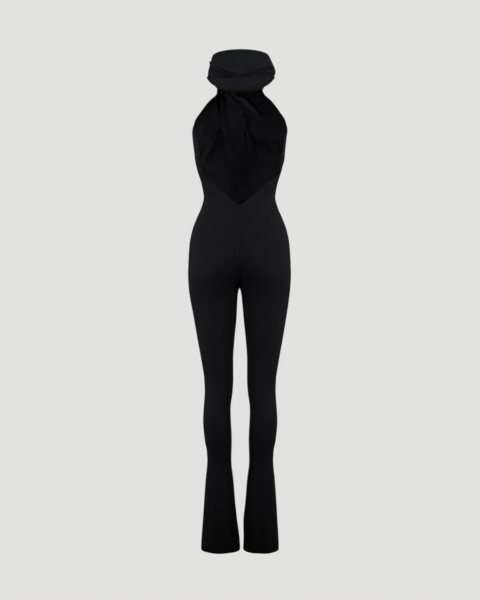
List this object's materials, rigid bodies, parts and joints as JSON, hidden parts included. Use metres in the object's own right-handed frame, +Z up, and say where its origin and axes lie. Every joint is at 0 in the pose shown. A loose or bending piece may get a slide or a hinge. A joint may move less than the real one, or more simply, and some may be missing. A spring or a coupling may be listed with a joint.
{
  "type": "open-back halter jumpsuit",
  "caption": "Worn-form jumpsuit with a folded cowl collar, gathered halter front, open V back, fitted waist and slim legs that flare at the hem.",
  "frame": {"origin": "centre of the neck seam, where the collar's stand meets the bodice and the wearer's neck holds the garment", "axes": "+Z up towards the collar, -Y towards the open back, +X towards the wearer's right"},
  "size_m": [0.328, 0.2551, 1.5823],
  "materials": {
    "cloth": "black matt stretch jersey with a fine knit and a faint sheen at grazing angles"
  },
  "bodies": {
    "root": {"collar": "cloth", "front_bodice": "cloth", "front_leg_left": "cloth", "front_leg_right": "cloth", "back_left": "cloth", "back_right": "cloth"}
  },
  "joints": []
}
